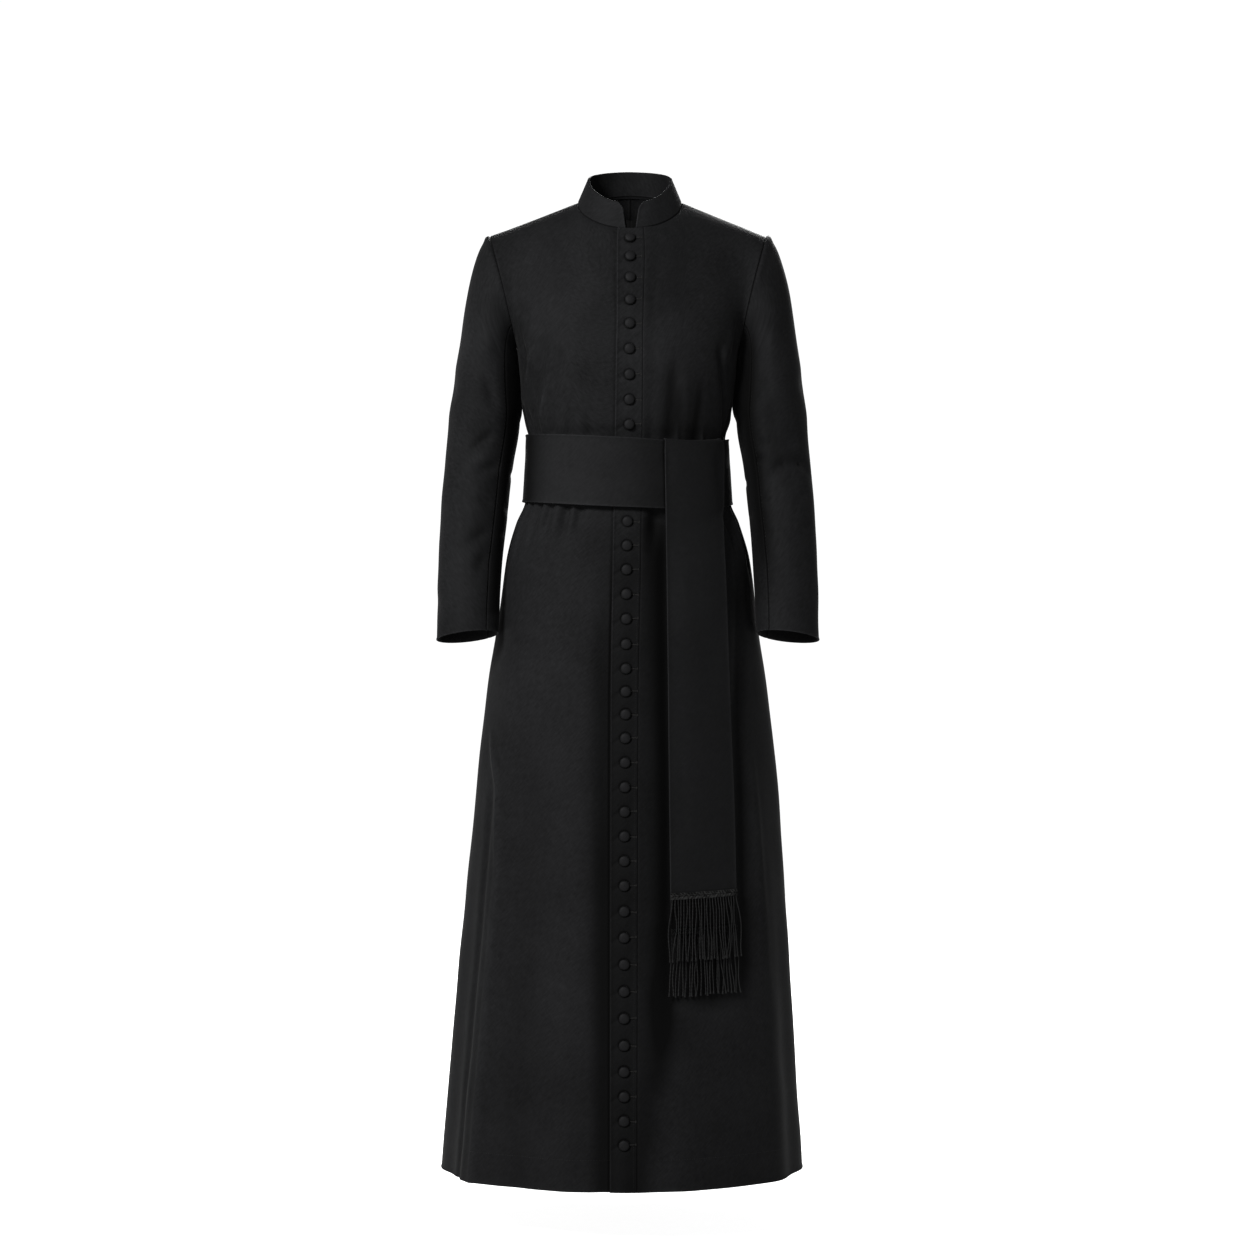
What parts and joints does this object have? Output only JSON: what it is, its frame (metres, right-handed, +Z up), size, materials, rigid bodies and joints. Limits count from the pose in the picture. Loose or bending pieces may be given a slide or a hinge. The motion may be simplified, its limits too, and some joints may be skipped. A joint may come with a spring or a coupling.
{
  "type": "cassock with fascia",
  "caption": "Full-length black cassock as worn: standing collar, close button front, set-in sleeves, flared skirt and a broad waist sash whose fringed ends hang down the left front.",
  "frame": {"origin": "where the wearer's shoulders carry the cassock: in the middle plane, level with the two points where the collar's seam meets the shoulder seams", "axes": "+X to the wearer's left, -Y out of the front, +Z up along the length of the garment"},
  "size_m": [0.5838, 0.5087, 1.5425],
  "materials": {
    "cassock_cloth": "fine wool twill, near black, soft low sheen",
    "sash_twill": "smooth diagonal twill, near black, a little sheen",
    "fringe_cord": "twisted black cord and braid, soft sheen",
    "button_cover": "domed button covered in the same black cloth, pulled smooth"
  },
  "bodies": {
    "root": {"front_right_bodice": "cassock_cloth", "front_right_skirt": "cassock_cloth", "front_left_bodice": "cassock_cloth", "front_left_skirt": "cassock_cloth", "button_band": "cassock_cloth", "back_left_bodice": "cassock_cloth", "back_left_skirt": "cassock_cloth", "back_right_bodice": "cassock_cloth", "back_right_skirt": "cassock_cloth", "sleeve_upper_left": "cassock_cloth", "sleeve_upper_right": "cassock_cloth", "sleeve_under_left": "cassock_cloth", "sleeve_under_right": "cassock_cloth", "collar": "cassock_cloth", "collar_underlap": "cassock_cloth", "fascia_band": "sash_twill", "fascia_streamer_front": "sash_twill", "fascia_streamer_back": "sash_twill", "fringe_header_front": "fringe_cord", "fringe_header_back": "fringe_cord", "fringe_front": "fringe_cord", "fringe_back": "fringe_cord", "button_01": "button_cover", "button_02": "button_cover", "button_03": "button_cover", "button_04": "button_cover", "button_05": "button_cover", "button_06": "button_cover", "button_07": "button_cover", "button_08": "button_cover", "button_09": "button_cover", "button_10": "button_cover", "button_11": "button_cover", "button_12": "button_cover", "button_13": "button_cover", "button_14": "button_cover", "button_15": "button_cover", "button_16": "button_cover", "button_17": "button_cover", "button_18": "button_cover", "button_19": "button_cover", "button_20": "button_cover", "button_21": "button_cover", "button_22": "button_cover", "button_23": "button_cover", "button_24": "button_cover", "button_25": "button_cover", "button_26": "button_cover", "button_27": "button_cover", "button_28": "button_cover", "button_29": "button_cover", "button_30": "button_cover", "button_31": "button_cover", "button_32": "button_cover", "button_33": "button_cover", "button_34": "button_cover", "button_35": "button_cover", "button_36": "button_cover", "button_37": "button_cover", "button_38": "button_cover"}
  },
  "joints": []
}
